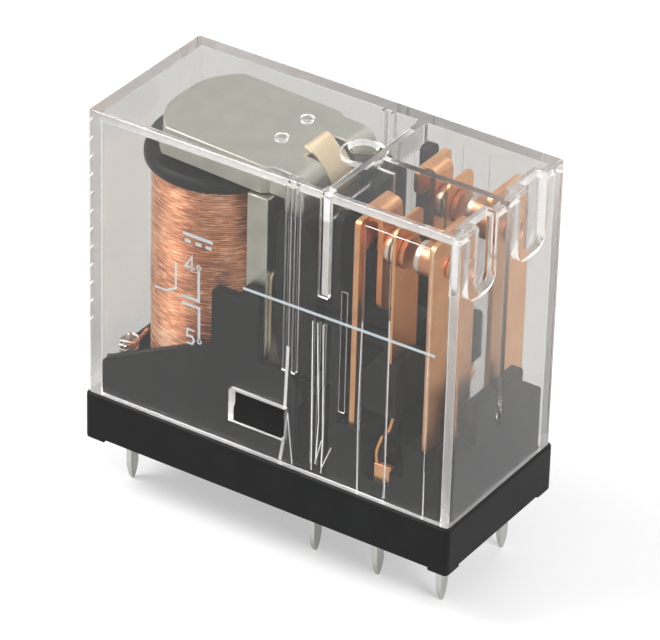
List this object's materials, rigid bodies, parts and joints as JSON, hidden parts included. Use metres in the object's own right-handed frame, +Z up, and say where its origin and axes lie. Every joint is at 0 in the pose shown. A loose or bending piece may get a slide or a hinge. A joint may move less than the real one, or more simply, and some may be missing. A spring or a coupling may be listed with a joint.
{
  "type": "pcb power relay",
  "caption": "Upright board-mounting power relay with a clear cover, an open-to-view coil, hinged armature and changeover contacts, and blade pins underneath.",
  "frame": {"origin": "centre of the pin pattern at the height of the pin tips, 4 mm under the board face", "axes": "+X from the coil to the contacts along the long side, +Y across the poles, +Z up out of the board"},
  "size_m": [0.029, 0.013, 0.0294],
  "materials": {
    "black_moulding": "satin black glass-filled moulding",
    "clear_cover": "clear polycarbonate, polished",
    "copper_wire": "enamelled copper wire",
    "nickel_steel": "dull nickel plate",
    "spring_bronze": "bright rolled strip",
    "tinned_pin": "tinned",
    "copper_sheet": "bright copper strip, tinned below the base",
    "spring_copper": "bright copper spring strip",
    "silver_contact": "bright silver alloy"
  },
  "bodies": {
    "housing": {"base": "black_moulding", "cover": "clear_cover", "bobbin": "black_moulding", "coil_winding": "copper_wire", "core": "nickel_steel", "yoke": "nickel_steel", "hinge_spring": "spring_bronze", "coil_terminal_front": "tinned_pin", "coil_lead_front": "copper_wire", "nc_terminal_front": "copper_sheet", "no_terminal_front": "copper_sheet", "com_terminal_front": "copper_sheet", "nc_contact_front": "silver_contact", "no_contact_front": "silver_contact", "coil_terminal_back": "tinned_pin", "coil_lead_back": "copper_wire", "nc_terminal_back": "copper_sheet", "no_terminal_back": "copper_sheet", "com_terminal_back": "copper_sheet", "nc_contact_back": "silver_contact", "no_contact_back": "silver_contact"},
    "armature": {"armature": "nickel_steel", "card": "black_moulding"},
    "moving_spring_front": {"moving_spring_front": "spring_copper", "spring_block_front": "black_moulding", "moving_contact_front": "silver_contact"},
    "moving_spring_back": {"moving_spring_back": "spring_copper", "spring_block_back": "black_moulding", "moving_contact_back": "silver_contact"}
  },
  "joints": [
    {"name": "armature_hinge", "type": "hinge", "parent": "housing", "child": "armature", "pos_m": [-0.00085, 0, 0.02655], "axis": [0, -1, 0], "range_deg": [0, 2.6], "stiffness_Nm_per_rad": 0.02, "springref_deg": -5.73},
    {"name": "moving_spring_front_bend", "type": "hinge", "parent": "housing", "child": "moving_spring_front", "pos_m": [0.00827, -0.003, 0.01009], "axis": [0, 1, 0], "range_deg": [0, 2.21]},
    {"name": "moving_spring_back_bend", "type": "hinge", "parent": "housing", "child": "moving_spring_back", "pos_m": [0.00827, 0.003, 0.01009], "axis": [0, 1, 0], "range_deg": [0, 2.21]}
  ],
  "couplings": [
    {"joint": "moving_spring_front_bend", "follows": "armature_hinge", "ratio": 0.84681},
    {"joint": "moving_spring_back_bend", "follows": "armature_hinge", "ratio": 0.84681}
  ]
}
